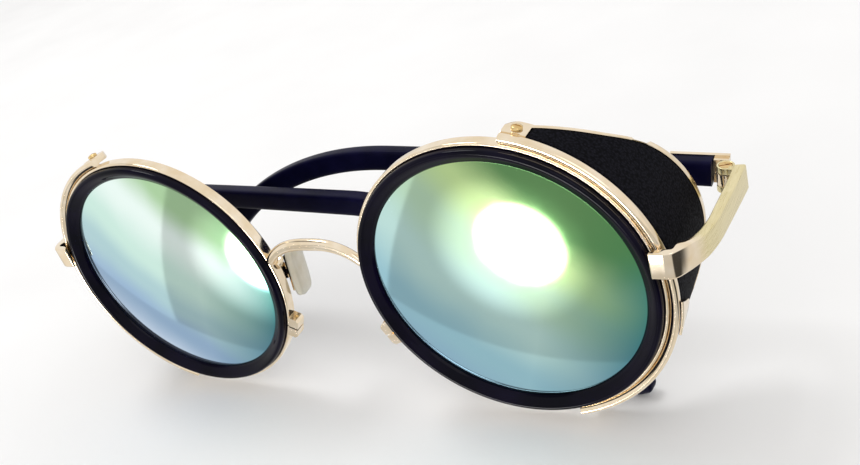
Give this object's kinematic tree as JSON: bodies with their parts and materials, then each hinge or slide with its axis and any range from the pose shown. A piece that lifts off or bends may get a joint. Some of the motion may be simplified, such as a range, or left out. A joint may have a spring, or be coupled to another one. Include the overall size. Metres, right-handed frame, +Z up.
{
  "type": "glacier glasses",
  "caption": "Round mirrored glacier glasses with gold wire rims, leather side shields, rocking nose pads and folding ear-hook temples, stored folded.",
  "frame": {"origin": "middle of the nose bridge, on the plane of the rims and level with the lens centres", "axes": "+X to the wearer's left, +Y back towards the ears, +Z up as worn"},
  "size_m": [0.134, 0.0323, 0.0543],
  "materials": {
    "polished_gold": "polished pale gold plating",
    "satin_gold": "brushed pale gold plating on the arm's outer face, polished at its bend",
    "screw_gold": "turned gold-plated screws, pins and rivets",
    "mirror_lens": "green to blue mirror coating on a polished lens",
    "black_ring": "polished black acetate",
    "black_temple": "satin blue-black acetate",
    "leather": "matte fine-grained black leather",
    "silicone": "translucent milky silicone"
  },
  "bodies": {
    "frame": {"bridge": "polished_gold", "left_lens": "mirror_lens", "left_bezel": "black_ring", "left_eyewire": "polished_gold", "left_rim_lock": "polished_gold", "left_rim_lock_screw": "screw_gold", "left_endpiece": "satin_gold", "left_hinge_screw": "screw_gold", "left_shield_plate": "polished_gold", "left_shield_leather": "leather", "left_shield_rivets": "screw_gold", "left_shield_tab": "polished_gold", "left_pad_arm": "polished_gold", "left_pad_screw": "screw_gold", "right_lens": "mirror_lens", "right_bezel": "black_ring", "right_eyewire": "polished_gold", "right_rim_lock": "polished_gold", "right_rim_lock_screw": "screw_gold", "right_endpiece": "satin_gold", "right_hinge_screw": "screw_gold", "right_shield_plate": "polished_gold", "right_shield_leather": "leather", "right_shield_rivets": "screw_gold", "right_shield_tab": "polished_gold", "right_pad_arm": "polished_gold", "right_pad_screw": "screw_gold"},
    "left_temple": {"left_temple_arm": "black_temple", "left_temple_head": "polished_gold", "left_temple_pins": "screw_gold"},
    "right_temple": {"right_temple_arm": "black_temple", "right_temple_head": "polished_gold", "right_temple_pins": "screw_gold"},
    "left_pad": {"left_nose_pad": "silicone", "left_pad_insert": "polished_gold"},
    "right_pad": {"right_nose_pad": "silicone", "right_pad_insert": "polished_gold"}
  },
  "joints": [
    {"name": "left_hinge", "type": "hinge", "parent": "frame", "child": "left_temple", "pos_m": [0.0637, 0.0268, 0.0025], "axis": [-0.0976, 0, -0.9952], "range_deg": [0, 89.6]},
    {"name": "right_hinge", "type": "hinge", "parent": "frame", "child": "right_temple", "pos_m": [-0.0637, 0.0268, 0.0025], "axis": [-0.0349, 0, 0.9994], "range_deg": [0, 98.5]},
    {"name": "left_pad_rock", "type": "hinge", "parent": "frame", "child": "left_pad", "pos_m": [0.0123, 0.0052, -0.0016], "axis": [0.0827, 0.2273, 0.9703], "range_deg": [-8, 8]},
    {"name": "right_pad_rock", "type": "hinge", "parent": "frame", "child": "right_pad", "pos_m": [-0.0123, 0.0052, -0.0016], "axis": [-0.0827, 0.2273, 0.9703], "range_deg": [-8, 8]}
  ],
  "couplings": [
    {"joint": "right_hinge", "follows": "left_hinge", "ratio": 1.099}
  ]
}
